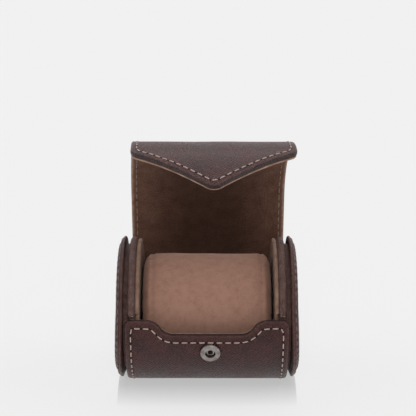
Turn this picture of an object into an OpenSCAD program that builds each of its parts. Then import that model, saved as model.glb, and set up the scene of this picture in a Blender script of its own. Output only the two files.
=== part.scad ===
// Travel case for one watch: a leather roll with padded round ends, a low scalloped front wall
// with a press stud, a flap that rises from the back, and a loose cushion inside.
// X runs along the roll, +Y to the back, +Z up. The origin is the middle of the flat base.

/* [Wrap] */
// Outside radius of the wrapped leather
outer_r = 34; // [33.6:0.1:38]
// Thickness of the wrap, leather to lining
wall_t = 3.6; // [3.2:0.1:4.6]
// Thickness of the outer leather
leather_t = 1.2; // [0.9:0.1:1.4]
// Thickness of the suede lining
suede_t = 1; // [0.7:0.1:1.2]
// How far the lining stops short of the leather's edge
lining_inset = 0.8; // [0.5:0.1:1.5]
// Width of the wrap, edge to edge
wrap_w = 74; // [66:0.5:90]
// Height of the roll's axis above the table
axis_h = 33.3; // [33.2:0.05:33.5]

/* [Front wall] */
// Height of the front wall at its sides, above the axis
front_side_z = 6.2; // [5:0.1:9]
// Height of the front wall in the scallop, above the axis
front_mid_z = -0.7; // [-2:0.1:2]
// Half width of the scallop's flat bottom
scallop_flat = 15.2; // [11:0.1:18]
// Width of each S curve of the scallop
scallop_run = 11.6; // [8:0.1:13]

/* [Side walls] */
// Radius of a side wall where it stands clear of the wrap
rim_r = 32.7; // [31.5:0.1:33]
// Gap between a side wall and the wrap that it stands in
rim_gap = 0.2; // [0.1:0.05:0.5]
// How far a side wall stands in from the wrap's edge
side_inset = 1.25; // [0.8:0.05:2]
// Thickness of a side wall
side_t = 3.5; // [3:0.1:5]
// Thickness of the thin leather turned over a rim
band_t = 0.8; // [0.6:0.1:1.1]
// How far that leather is turned down each face
band_turn = 8; // [5:0.5:12]
// Thickness of the suede panel inside a side wall
panel_t = 1.7; // [1.2:0.1:2.4]
// How far the suede panel stays below the rim
panel_inset = 0.6; // [0.3:0.1:1.5]

/* [End caps] */
// Radius of an end cap
cap_r = 33.1; // [31:0.1:36]
// Gap between the wrap's edge and an end cap
cap_gap = 0.9; // [0.5:0.1:1.5]
// Thickness of an end cap's stiff backing, with its leather
cap_back_t = 1.2; // [1:0.1:2]
// Thickness of the leather turned round that backing
cap_turn_t = 0.5; // [0.3:0.05:0.7]
// How far the padded cover's flange stops short of the cap's edge
cap_flange_inset = 0.8; // [0.4:0.1:1.5]
// Thickness of the padded cover's leather
cap_cover_t = 0.7; // [0.5:0.05:1]
// Width of the stitched flange outside the dome
cap_margin = 2.3; // [1.8:0.1:4]
// Height of the dome at its middle
dome_h = 3.2; // [2.6:0.1:5]
// Height of the dome at its rounded edge
dome_edge_h = 2; // [1.4:0.1:2.4]
// Radius of the hub that carries an end cap
hub_r = 29.5; // [24:0.5:30]

/* [Flap] */
// Angle above the axis at which the wrap leaves the side walls
rise_angle = -1; // [-4:0.5:4]
// Length of straight wrap above that, up to the first flex line
rise_len = 16.1; // [14:0.1:18]
// Length of the heel between the two flex lines
heel_len = 17; // [14:0.5:20]
// Lean of the heel when open
heel_lean = 6.5; // [4:0.5:10]
// Length of the crown's straight start
crown_flat_len = 14; // [10:0.5:18]
// Lean of the crown's straight start when open
crown_lean = 7.2; // [5:0.1:10]
// Radius of the crown at mid thickness
crown_r = 37.6; // [36:0.1:40]
// Angle that the crown turns through
crown_angle = 94.5; // [88:0.5:98]
// Length of the pointed tip along the leather
tip_len = 29; // [26:0.5:32]
// Lean of the tip where it starts
tip_lean = 91; // [88:0.5:98]
// Radius to which the tip is curved, at mid thickness
tip_curve_r = 60; // [50:1:90]
// Rounding of the tip's two outer corners
tip_corner_r = 6; // [4:0.5:9]
// Rounding of the point
tip_point_r = 5; // [4:0.5:9]
// Gap at a flex line, on the side it hinges
flex_gap = 0.4; // [0.3:0.05:0.6]

/* [Press stud] */
// How far the press stud is set to the right of the middle
snap_x = 1.5; // [0:0.1:3]
// Angle of the socket below the axis, on the front wall
snap_angle = 16; // [13:0.5:18]
// Distance of the stud along the tip
stud_at = 16.51; // [15:0.01:18]
// Radius of the socket
socket_r = 4.7; // [4.2:0.1:6]
// Height of the socket above the leather
socket_h = 1.6; // [1.3:0.1:2]
// How far the socket is pressed into the leather
socket_sink = 0.3; // [0.2:0.05:0.4]
// Radius of the socket's mouth
mouth_r = 2.2; // [2.1:0.05:2.4]
// Thickness of the spring wire
wire_d = 0.5; // [0.3:0.05:0.6]
// Clearance between the stud's head and each wire
wire_gap = 0.1; // [0.05:0.01:0.15]
// Radius of the stud's head
stud_r = 1.6; // [1.4:0.05:1.7]
// Height of the stud's head above its flange
stud_h = 1.4; // [1.1:0.1:1.5]
// Radius of the stud's neck
neck_r = 1.25; // [1:0.05:1.35]
// Radius of the stud's flange
stud_flange_r = 4.4; // [3.8:0.1:5]
// Thickness of the stud's flange
stud_flange_t = 0.6; // [0.4:0.1:0.8]
// Radius of the rivets' shanks
shank_r = 1.2; // [1:0.05:1.3]
// Radius of the rivets' hidden heads
rivet_head_r = 4; // [3.5:0.1:4.5]
// Thickness of the rivets' hidden heads
rivet_head_t = 0.5; // [0.4:0.05:0.6]

/* [Cushion] */
// Gap between the cushion and the suede panel at each end
cushion_side_gap = 1.85; // [1.3:0.05:5]
// Room for the watch's strap between the cushion and the wrap, front and back
cushion_strap_gap = 6.4; // [5.9:0.1:9]
// Height of the cushion's top above the axis
cushion_top_z = 25.1; // [21:0.1:26]
// Gap under the cushion
cushion_gap = 0.3; // [0.2:0.05:0.5]
// Rounding of the cushion's end edges
cushion_round = 7; // [4:0.5:10]
// Thickness of the cushion's suede
cushion_suede_t = 1; // [0.8:0.1:1.5]

/* [Hidden] */

leather_colour = [0.25, 0.18, 0.17];
thin_leather_colour = [0.29, 0.21, 0.2];
suede_colour = [0.52, 0.4, 0.34];
board_colour = [0.72, 0.66, 0.55];
foam_colour = [0.85, 0.82, 0.74];
metal_colour = [0.63, 0.61, 0.58];

round_fn = 180;
small_fn = 72;
slack = 1;
weld = 0.02;
lap = 0.5;

// Layers of the wrap, measured outwards from its inner face
board_t = wall_t - leather_t - suede_t;
inner_r = outer_r - wall_t;
far = 3 * outer_r;

// Places along X
side_out_x = wrap_w / 2 - side_inset;
side_in_x = side_out_x - side_t;
panel_x = side_in_x - panel_t;
cap_x = wrap_w / 2 + cap_gap;
cap_face_x = cap_x + cap_back_t;
dome_r = cap_r - cap_margin;

// The flap's path in section, from the case upwards. A lean is the angle from upright.
function outward(lean) = [cos(lean), sin(lean)];
function ahead(lean) = [-sin(lean), cos(lean)];
rise_p = inner_r * outward(rise_angle);
heel_p = rise_p + rise_len * ahead(rise_angle);
crown_p = heel_p + heel_len * ahead(heel_lean);
crown_in_r = crown_r - wall_t / 2;
crown_bend_p = crown_p + crown_flat_len * ahead(crown_lean);
crown_c = crown_bend_p - crown_in_r * outward(crown_lean);
crown_end_lean = crown_lean + crown_angle;
tip_p = crown_c + crown_r * outward(crown_end_lean);
tip_c = tip_p - tip_curve_r * outward(tip_lean);
tip_angle = tip_len / tip_curve_r * 180 / PI;
tip_in_r = tip_curve_r - wall_t / 2;
tip_mid_lean = tip_lean + tip_angle / 2;
tip_chord = 2 * tip_curve_r * sin(tip_angle / 2);

// Reliefs that let each flex line open and close
hinge_open_angle = 17;
tip_lift_angle = 23;
tip_close_angle = 25;

// The tip's outline: where its rounded corners and point are centred
tip_half_w = wrap_w / 2;
tip_shoulder = 1;
tip_reach = tip_chord - tip_shoulder - tip_point_r;
tip_slant = acos(tip_point_r / norm([tip_half_w, tip_reach])) - atan(tip_reach / tip_half_w);
corner_c = [tip_half_w - tip_corner_r, tip_shoulder - tip_corner_r * tan(tip_slant / 2)];
point_c = [0, tip_chord - tip_point_r];

// The scallop's two tangent arcs
scallop_drop = front_side_z - front_mid_z;
scallop_turn = 2 * atan(scallop_drop / scallop_run);
scallop_r = scallop_run / (2 * sin(scallop_turn));

// The press stud
stud_lean = tip_lean + stud_at / tip_curve_r * 180 / PI;
stud_p = tip_c + tip_in_r * outward(stud_lean);
socket_lip = 0.5;
socket_floor_t = 0.35;
socket_base = outer_r - socket_sink;
socket_top = socket_h + socket_sink;
spring_room_r = socket_r - 2 * socket_lip;
wire_x = stud_r + wire_gap + wire_d / 2;
spring_bend_y = spring_room_r - wire_x - wire_d;
spring_end_y = sqrt(pow(spring_room_r, 2) - pow(wire_x + wire_d / 2, 2)) - wire_gap;
rivet_sink = 0.2;

// The cushion fills the well in the wrap, whose floor is round where the base isn't flattened
well_depth = min(axis_h - wall_t, inner_r);
cushion_h = cushion_top_z + well_depth - cushion_gap;
cushion_d = 2 * (inner_r - cushion_strap_gap);

// ---- helpers ----

// Sweeps a drawing of the Y-Z section along X, between two X positions
module along_x(x0, x1) {
    translate([x0, 0, axis_h])
        rotate([90, 0, 90])
            linear_extrude(x1 - x0)
                children();
}

// A disc with a flat base at a depth below its centre. Its facets start where the wrap rises.
module flat_disc(r, base) {
    intersection() {
        rotate(rise_angle)
            circle(r, $fn = round_fn);
        translate([-r, -base])
            square([2 * r, base + r]);
    }
}

// One layer of the case's wrap in section, from a to b out from the inner face
module wrap_section(a, b, edge_inset) {
    base_in = axis_h - wall_t;
    intersection() {
        difference() {
            flat_disc(inner_r + b, base_in + b);
            flat_disc(inner_r + a, base_in + a);
        }
        polygon([
            [-far, -far], [far, -far], [far, far * tan(rise_angle)], [0, 0],
            [0, front_side_z - edge_inset], [-far, front_side_z - edge_inset]
        ]);
    }
    translate(rise_p)
        rotate(rise_angle)
            translate([a, -weld])
                square([b - a, rise_len + weld]);
}

// The scallop cut from the front wall, grown by an inset. Each curve is set a touch past the
// line that it runs into, so that the two cross and don't only touch.
module scallop(inset) {
    top = scallop_drop + slack;
    low_c = [scallop_flat, front_mid_z + scallop_r - weld];
    high_c = [scallop_flat + scallop_run, front_side_z - scallop_r + weld];
    translate([-scallop_flat, front_mid_z - inset])
        square([2 * scallop_flat, top + inset]);
    for (side = [0, 1])
        mirror([side, 0]) {
            translate(low_c)
                circle(scallop_r + inset, $fn = small_fn);
            difference() {
                polygon([
                    low_c, high_c, [high_c[0], front_mid_z + top], [low_c[0], front_mid_z + top]
                ]);
                translate(high_c)
                    circle(scallop_r - inset, $fn = small_fn);
            }
        }
}

module wrap_layer(a, b, inset) {
    difference() {
        along_x(-wrap_w / 2 + inset, wrap_w / 2 - inset)
            difference() {
                wrap_section(a, b, inset);
                heel_relief();
            }
        translate([0, 0, axis_h])
            rotate([90, 0, 0])
                linear_extrude(outer_r + slack)
                    scallop(inset);
    }
}

// A wedge taken out at a flex line that hinges on the inner face
module inner_relief(lean, angle) {
    w = wall_t + slack;
    g = flex_gap / 2;
    rotate(lean)
        polygon([
            [-slack, -g], [0, -g], [w, -g - w * tan(angle / 2)],
            [w, g + w * tan(angle / 2)], [0, g], [-slack, g]
        ]);
}

module heel_relief() {
    translate(heel_p)
        inner_relief((rise_angle + heel_lean) / 2, hinge_open_angle);
}

module crown_relief() {
    translate(crown_p)
        inner_relief((heel_lean + crown_lean) / 2, hinge_open_angle);
}

// The tip hinges at mid thickness, so it is relieved on both faces
module tip_relief() {
    w = wall_t;
    g = flex_gap / 2;
    translate(tip_p)
        rotate((crown_end_lean + tip_lean) / 2)
            polygon([
                [-w, -g - w * tan(tip_close_angle / 2)], [0, -g],
                [w, -g - w * tan(tip_lift_angle / 2)], [w, g + w * tan(tip_lift_angle / 2)],
                [0, g], [-w, g + w * tan(tip_close_angle / 2)]
            ]);
}

// A sector of a ring, from one lean to another
module bend(r0, r1, lean0, lean1) {
    mid = (lean0 + lean1) / 2;
    intersection() {
        rotate(lean0)
            difference() {
                circle(r1, $fn = round_fn);
                circle(r0, $fn = round_fn);
            }
        polygon([[0, 0], far * outward(lean0), 2 * far * outward(mid), far * outward(lean1)]);
    }
}

module heel_section(a, b) {
    difference() {
        translate(heel_p)
            rotate(heel_lean)
                translate([a, 0])
                    square([b - a, heel_len]);
        heel_relief();
        crown_relief();
    }
}

module crown_section(a, b) {
    difference() {
        union() {
            translate(crown_p)
                rotate(crown_lean)
                    translate([a, 0])
                        square([b - a, crown_flat_len + lap]);
            translate(crown_c)
                bend(crown_in_r + a, crown_in_r + b, crown_lean, crown_end_lean);
        }
        crown_relief();
        tip_relief();
    }
}

module tip_section(a, b) {
    difference() {
        translate(tip_c)
            bend(tip_in_r + a, tip_in_r + b, tip_lean, tip_lean + tip_angle + slack);
        tip_relief();
    }
}

// The pointed outline of the tip, seen flat, drawn in by an inset. The straight edges run just
// inside the rounded corners' tangents.
module tip_outline(inset) {
    half_w = tip_half_w - inset - weld;
    corner_t = corner_c + (tip_corner_r - inset - weld) * outward(tip_slant);
    point_t = point_c + (tip_point_r - inset - weld) * outward(tip_slant);
    polygon([
        [-half_w, -tip_len], [half_w, -tip_len], [half_w, corner_c[1]],
        corner_t, point_t, [-point_t[0], point_t[1]],
        [-corner_t[0], corner_t[1]], [-half_w, corner_c[1]]
    ]);
    for (side = [-1, 1])
        translate([side * corner_c[0], corner_c[1]])
            circle(tip_corner_r - inset, $fn = small_fn);
    translate(point_c)
        circle(tip_point_r - inset, $fn = small_fn);
}

module tip_layer(a, b, inset) {
    intersection() {
        along_x(-wrap_w / 2 - slack, wrap_w / 2 + slack)
            tip_section(a, b);
        translate([0, tip_p[0], axis_h + tip_p[1]])
            rotate([90 + tip_mid_lean, 0, 0])
                linear_extrude(tip_len, center = true)
                    tip_outline(inset);
    }
}

// A side wall in section, drawn in from its rim by an inset. It stands inside the wrap at the
// bottom, on the front wall's top edge at the front, and against the rising wrap at the back.
module side_section(inset) {
    keep = inner_r - rim_gap - inset;
    back = keep - weld;
    flat_disc(keep, axis_h - wall_t - rim_gap - inset);
    intersection() {
        circle(rim_r - inset, $fn = round_fn);
        polygon([
            [-far, front_side_z + rim_gap + inset], [0, front_side_z + rim_gap + inset], [0, 0],
            back * outward(rise_angle), back * outward(rise_angle) + far * ahead(rise_angle),
            [-far, far]
        ]);
    }
}

module side_disc(inset, x0, x1) {
    along_x(x0, x1)
        side_section(inset);
}

// Turns a profile of radius and height round the roll's axis, standing on an X position
module turned(x0) {
    translate([x0, 0, axis_h])
        rotate([0, 90, 0])
            rotate_extrude($fn = round_fn)
                children();
}

// Half profile of a dome with a quarter-round edge
module dome_profile(r, edge_h, h) {
    flat_r = r - edge_h;
    rise = h - edge_h;
    sphere_r = (flat_r * flat_r + rise * rise) / (2 * rise);
    intersection() {
        translate([0, h - sphere_r])
            circle(sphere_r, $fn = 4 * round_fn);
        square([flat_r, h]);
    }
    intersection() {
        translate([flat_r, 0])
            circle(edge_h, $fn = small_fn);
        translate([flat_r - slack, 0])
            square([edge_h + slack, edge_h]);
    }
}

// Sets its children at the socket, +Z out of the front wall from the roll's axis
module at_socket() {
    translate([snap_x, 0, axis_h])
        rotate([90 + snap_angle, 0, 0])
            children();
}

// Sets its children at the stud, +Z out of the tip's lining
module at_stud() {
    translate([snap_x, stud_p[0], axis_h + stud_p[1]])
        rotate([90 + stud_lean, 0, 0])
            children();
}

module left() {
    mirror([1, 0, 0])
        children();
}

// ---- case body ----

module body_board() {
    color(board_colour)
        difference() {
            body_board_blank();
            at_socket() {
                cylinder(r = shank_r, h = far, $fn = small_fn);
                cylinder(r = rivet_head_r, h = inner_r + suede_t + rivet_head_t, $fn = small_fn);
            }
        }
}

module body_board_blank() {
    wrap_layer(suede_t, suede_t + board_t, leather_t);
}

module body_cover() {
    color(leather_colour)
        difference() {
            wrap_layer(suede_t, wall_t, 0);
            body_board_blank();
            at_socket() {
                cylinder(r = shank_r, h = far, $fn = small_fn);
                translate([0, 0, socket_base])
                    cylinder(r = socket_r, h = outer_r, $fn = small_fn);
            }
        }
}

module body_lining() {
    color(suede_colour)
        wrap_layer(0, suede_t, lining_inset);
}

// ---- side walls ----

module side_board() {
    color(board_colour)
        side_disc(band_t, side_in_x + band_t, side_out_x - band_t);
}

module side_band() {
    color(thin_leather_colour)
        difference() {
            side_disc(0, side_in_x, side_out_x);
            side_board();
            along_x(side_in_x - slack, side_out_x + slack)
                circle(rim_r - band_turn, $fn = round_fn);
        }
}

module side_lining() {
    color(suede_colour)
        side_disc(panel_inset, panel_x, side_in_x);
}

// Carries the cap on the side wall and makes the floor of the groove between them
module hub() {
    color(thin_leather_colour)
        along_x(side_out_x, cap_x)
            circle(hub_r, $fn = round_fn);
}

// ---- end caps ----

module cap_board() {
    color(board_colour)
        turned(cap_x + cap_turn_t)
            square([cap_r - cap_turn_t, cap_back_t - cap_turn_t]);
}

module cap_edge() {
    color(leather_colour)
        turned(cap_x)
            difference() {
                square([cap_r, cap_back_t]);
                translate([0, cap_turn_t])
                    square([cap_r - cap_turn_t, cap_back_t]);
            }
}

module cap_padding() {
    color(foam_colour)
        turned(cap_face_x)
            dome_profile(dome_r - cap_cover_t, dome_edge_h - cap_cover_t, dome_h - cap_cover_t);
}

module cap_cover() {
    color(leather_colour)
        turned(cap_face_x)
            difference() {
                union() {
                    dome_profile(dome_r, dome_edge_h, dome_h);
                    square([cap_r - cap_flange_inset, cap_cover_t]);
                }
                dome_profile(dome_r - cap_cover_t, dome_edge_h - cap_cover_t, dome_h - cap_cover_t);
            }
}

// ---- press stud ----

module socket_cup() {
    color(metal_colour)
        at_socket()
            translate([0, 0, socket_base])
                rotate_extrude($fn = small_fn)
                    difference() {
                        union() {
                            square([socket_r - socket_lip, socket_top]);
                            square([socket_r, socket_top - socket_lip]);
                            translate([socket_r - socket_lip, socket_top - socket_lip])
                                circle(socket_lip, $fn = small_fn);
                        }
                        translate([-slack, socket_floor_t])
                            square([mouth_r + slack, socket_top]);
                        translate([-slack, -slack])
                            square([shank_r + slack, socket_top]);
                        translate([-slack, socket_floor_t])
                            square([spring_room_r + slack, wire_d + wire_gap]);
                    }
}

// A hairpin of wire that passes the stud's head on both sides
module socket_spring() {
    color(metal_colour)
        at_socket()
            translate([0, 0, socket_base + socket_floor_t + wire_d / 2]) {
                for (side = [-1, 1])
                    translate([side * wire_x, spring_bend_y, 0])
                        rotate([90, 0, 0])
                            cylinder(d = wire_d, h = spring_bend_y + spring_end_y, $fn = 24);
                translate([0, spring_bend_y, 0])
                    rotate_extrude(angle = 180, $fn = small_fn)
                        translate([wire_x, 0])
                            circle(d = wire_d, $fn = 24);
            }
}

module socket_rivet() {
    color(metal_colour)
        at_socket()
            translate([0, 0, inner_r + suede_t]) {
                cylinder(r = rivet_head_r, h = rivet_head_t, $fn = small_fn);
                cylinder(r = shank_r, h = socket_base + socket_floor_t - inner_r - suede_t,
                    $fn = small_fn);
            }
}

module stud() {
    color(metal_colour)
        at_stud()
            rotate_extrude($fn = small_fn) {
                square([stud_flange_r - stud_flange_t / 2, stud_flange_t]);
                translate([stud_flange_r - stud_flange_t / 2, stud_flange_t / 2])
                    circle(stud_flange_t / 2, $fn = small_fn);
                square([neck_r, stud_flange_t + stud_h - stud_r / 2]);
                translate([0, stud_flange_t + stud_h - stud_r])
                    intersection() {
                        circle(stud_r, $fn = small_fn);
                        translate([0, stud_r / 3])
                            square(stud_r);
                    }
            }
}

module stud_rivet() {
    color(metal_colour)
        at_stud()
            translate([0, 0, rivet_sink - suede_t - board_t]) {
                cylinder(r = shank_r, h = suede_t + board_t - rivet_sink, $fn = small_fn);
                cylinder(r = rivet_head_r, h = rivet_head_t, $fn = small_fn);
            }
}

// ---- flap ----

module heel_filler() {
    color(foam_colour)
        along_x(-wrap_w / 2 + leather_t, wrap_w / 2 - leather_t)
            heel_section(suede_t, suede_t + board_t);
}

module heel_cover() {
    color(leather_colour)
        difference() {
            along_x(-wrap_w / 2, wrap_w / 2)
                heel_section(suede_t, wall_t);
            heel_filler();
        }
}

module heel_lining() {
    color(suede_colour)
        along_x(-wrap_w / 2 + lining_inset, wrap_w / 2 - lining_inset)
            heel_section(0, suede_t);
}

module crown_board() {
    color(board_colour)
        along_x(-wrap_w / 2 + leather_t, wrap_w / 2 - leather_t)
            crown_section(suede_t, suede_t + board_t);
}

module crown_cover() {
    color(leather_colour)
        difference() {
            along_x(-wrap_w / 2, wrap_w / 2)
                crown_section(suede_t, wall_t);
            crown_board();
        }
}

module crown_lining() {
    color(suede_colour)
        along_x(-wrap_w / 2 + lining_inset, wrap_w / 2 - lining_inset)
            crown_section(0, suede_t);
}

module tip_board_blank() {
    tip_layer(suede_t, suede_t + board_t, leather_t);
}

module tip_board() {
    color(board_colour)
        difference() {
            tip_board_blank();
            at_stud()
                stud_rivet_space();
        }
}

module stud_rivet_space() {
    translate([0, 0, -wall_t])
        cylinder(r = shank_r, h = wall_t + slack, $fn = small_fn);
    translate([0, 0, -wall_t])
        cylinder(r = rivet_head_r, h = leather_t + rivet_sink + rivet_head_t, $fn = small_fn);
}

module tip_cover() {
    color(leather_colour)
        difference() {
            tip_layer(suede_t, wall_t, 0);
            tip_board_blank();
        }
}

module tip_lining() {
    color(suede_colour)
        difference() {
            tip_layer(0, suede_t, lining_inset);
            at_stud() {
                translate([0, 0, -suede_t - slack])
                    cylinder(r = shank_r, h = suede_t + 2 * slack, $fn = small_fn);
                translate([0, 0, -weld])
                    cylinder(r = stud_flange_r, h = slack, $fn = small_fn);
            }
        }
}

// ---- cushion ----

module cushion_oval(inset, half_w) {
    translate([-half_w, 0, axis_h + cushion_top_z - cushion_h / 2])
        rotate([90, 0, 90])
            linear_extrude(2 * half_w)
                scale([cushion_d / 2 - inset, cushion_h / 2 - inset])
                    circle(1, $fn = 32);
}

// A rounded block: each step of the end edge is one slice of the hull
module cushion_block(inset) {
    hull()
        for (turn = [0, 30, 60, 90])
            cushion_oval(inset + cushion_round * (1 - cos(turn)),
                panel_x - cushion_side_gap - inset - cushion_round * (1 - sin(turn)));
}

module cushion_core() {
    color(foam_colour)
        cushion_block(cushion_suede_t);
}

module cushion_cover() {
    color(suede_colour)
        difference() {
            cushion_block(0);
            cushion_block(cushion_suede_t);
        }
}

// ---- nodes ----

body_cover();
body_board();
body_lining();
left() side_board();  // left_side_board
left() side_band();  // left_side_band
left() side_lining();  // left_side_lining
left() hub();  // left_hub
side_board();  // right_side_board
side_band();  // right_side_band
side_lining();  // right_side_lining
hub();  // right_hub
left() cap_board();  // left_cap_board
left() cap_edge();  // left_cap_edge
left() cap_padding();  // left_cap_padding
left() cap_cover();  // left_cap_cover
cap_board();  // right_cap_board
cap_edge();  // right_cap_edge
cap_padding();  // right_cap_padding
cap_cover();  // right_cap_cover
socket_cup();
socket_spring();
socket_rivet();
heel_cover();
heel_filler();
heel_lining();
crown_cover();
crown_board();
crown_lining();
tip_cover();
tip_board();
tip_lining();
stud();
stud_rivet();
cushion_cover();
cushion_core();
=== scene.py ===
"""A leather travel roll for one watch: a scalloped front with a press stud, a stiff flap that
curves over from the back to a point, padded round ends and a loose suede cushion."""

import math

import bmesh
import bpy
import numpy as np
from mathutils import Matrix, Vector, noise


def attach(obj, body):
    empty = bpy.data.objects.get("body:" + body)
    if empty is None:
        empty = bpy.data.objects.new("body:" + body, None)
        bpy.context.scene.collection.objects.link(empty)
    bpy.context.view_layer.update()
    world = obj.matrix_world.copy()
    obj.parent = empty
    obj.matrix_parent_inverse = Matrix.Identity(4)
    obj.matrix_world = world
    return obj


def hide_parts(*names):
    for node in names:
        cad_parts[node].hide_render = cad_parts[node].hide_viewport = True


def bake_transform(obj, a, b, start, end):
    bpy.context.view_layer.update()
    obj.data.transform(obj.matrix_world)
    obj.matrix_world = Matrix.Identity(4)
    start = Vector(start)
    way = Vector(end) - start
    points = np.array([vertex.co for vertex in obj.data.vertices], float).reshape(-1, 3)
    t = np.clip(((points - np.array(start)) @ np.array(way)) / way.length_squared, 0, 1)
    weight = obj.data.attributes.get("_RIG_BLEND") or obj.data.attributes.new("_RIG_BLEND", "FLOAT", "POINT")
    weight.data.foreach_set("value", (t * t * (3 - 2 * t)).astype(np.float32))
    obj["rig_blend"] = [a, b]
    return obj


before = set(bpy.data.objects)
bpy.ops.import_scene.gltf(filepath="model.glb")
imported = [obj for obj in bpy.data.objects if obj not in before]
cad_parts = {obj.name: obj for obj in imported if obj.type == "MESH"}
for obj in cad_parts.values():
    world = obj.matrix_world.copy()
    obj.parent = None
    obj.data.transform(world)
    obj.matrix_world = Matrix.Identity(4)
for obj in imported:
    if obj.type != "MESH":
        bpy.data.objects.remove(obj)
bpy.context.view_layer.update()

MM = 0.001

# ---- sizes, in mm; x along the roll, y to the back, z up, r out from the roll's axis ----

# The wrap: where it runs round the roll's axis, how thick and wide it is, and its layers.
AXIS_H = 33.3
OUTER_R = 34.0
WALL_T = 3.6
INNER_R = OUTER_R - WALL_T
MID_R = OUTER_R - WALL_T / 2
MID_U = WALL_T / 2
HALF_W = 37.0
LINING_INSET = 0.3
BOARD_INSET = 1.25
STIFFENER_GAP = 0.5

# Its runs from the front edge to the point: how each leans, in degrees, and how long it is.
FRONT_SIDE_Z, FRONT_MID_Z = 6.2, -0.7
FRONT_TURN = math.degrees(math.asin(FRONT_SIDE_Z / OUTER_R))
BASE_TURN = math.degrees(math.acos((AXIS_H - MID_U) / MID_R))
BASE_LEN = 2 * MID_R * math.sin(math.radians(BASE_TURN))
RISE_LEAN, RISE_LEN = -1.0, 16.1
HEEL_LEAN, HEEL_LEN = 6.5, 17.0
CROWN_LEAN, CROWN_FLAT = 7.2, 14.0
CROWN_R, CROWN_TURN = 37.6, 94.5
TIP_LEAN, TIP_R, TIP_LEN = 91.0, 60.0, 29.0
TIP_TURN = math.degrees(TIP_LEN / TIP_R)

# How far along the wrap each run starts, and where it is seamed across and flexes.
FRONT_LEN = math.radians(90 + FRONT_TURN - BASE_TURN) * MID_R
BACK_LEN = math.radians(90 - BASE_TURN + RISE_LEAN) * MID_R
CROWN_LEN = math.radians(CROWN_TURN) * CROWN_R
S_BASE = FRONT_LEN + BASE_LEN / 2
S_HEEL = FRONT_LEN + BASE_LEN + BACK_LEN + RISE_LEN
S_CROWN = S_HEEL + HEEL_LEN
S_BEND = S_CROWN + CROWN_FLAT
S_TIP = S_BEND + CROWN_LEN
S_POINT = S_TIP + TIP_LEN
HEEL_SEAM = S_HEEL + HEEL_LEN / 2
CROWN_SEAM = S_CROWN + CROWN_FLAT / 2
LEAD = 6.0
FLEX = 4.0

# Its outline, and the soft waves of bent leather.
SCALLOP_DEPTH = (math.radians(FRONT_TURN) - math.asin(FRONT_MID_Z / OUTER_R)) * MID_R
SCALLOP_FLAT, SCALLOP_RUN = 15.2, 11.6
WAVE_SIZE, WAVE_H = 16.0, 0.12
CUT_ALONG, CUT_ACROSS = 1.5, 6.0
FRONT_CORNER_R, TIP_CORNER_R, POINT_R = 3.0, 6.0, 5.0
TIP_SHOULDER = 1.0

# Its stitches: how far in, how far apart, how long and how thick, and how deep they are drawn.
STITCH_IN, FRONT_STITCH_IN = 2.7, 3.5
STITCH_PITCH, STITCH_LEN, THREAD_D = 3.9, 2.95, 0.62
LINING_THREAD_D, LINING_TIGHT = 0.55, 0.2
BASE_SUNK = 0.4
HOLE_R, HOLE_H = 0.45, 0.1

# The side walls and, outside them, the end caps.
SIDE_OUT_X, SIDE_IN_X, PANEL_X = 35.75, 32.25, 30.55
RIM_R, RIM_GAP = 32.7, 0.2
BAND_T, BAND_TURN = 0.8, 8.0
GATHER_H, CROSSING_H, GATHER_SET, GATHER_REACH = 0.12, 0.075, 0.09, 5
PUCKER_H, PUCKER_REACH = 0.13, 4
CAP_X, CAP_FACE_X, CAP_R = 37.9, 39.1, 33.1
DOME_R, DOME_X, FLANGE_R, COVER_T = 30.8, 42.3, 32.3, 0.7
HUB_R, CAP_SPLAY = 29.5, 1.25
CAP_LIP_X, CAP_LIP_R, CAP_TURN_T = 38.85, 31.9, 0.5
CAP_STITCHES, CAP_STITCH_LEN, CAP_TIGHT = 52, 2.7, 0.2
CAP_PULL, CAP_DIP = 0.34, 0.16

# The press stud's socket: how far right, and how far below the front wall's level.
SNAP_X, SNAP_ANGLE = 1.5, 16.0
SOCKET_LAY = (
    SNAP_X * MM, math.radians(FRONT_TURN + SNAP_ANGLE) * MID_R * MM, WALL_T * MM,
)

# The cushion, its seams, the block that it is filled out from, and how the cloth is worked.
CUSHION_W, CUSHION_D, CUSHION_H, CUSHION_SPREAD = 57.4, 48.0, 54.5, 2.2
CUSHION_Z = WALL_T + 0.3 + CUSHION_H / 2
CUSHION_SEAM_X = CUSHION_W / 2 - 3.4
CUSHION_BLANK_IN, CUSHION_BLANK_R = 0.5, 3.2
CUSHION_SKIN, CUSHION_PUFF, CUSHION_TRIM = 1.7, 0.7, 0.05
CLOTH_SCALE, CLOTH_FRAMES = 10.0, 20
SEAM_HELD, SEAM_TUCK, SEAM_PUCKER = 0.9, 0.55, 0.18


# ---- the wrap's course round the case, as the lean of its middle along its length ----

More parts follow.
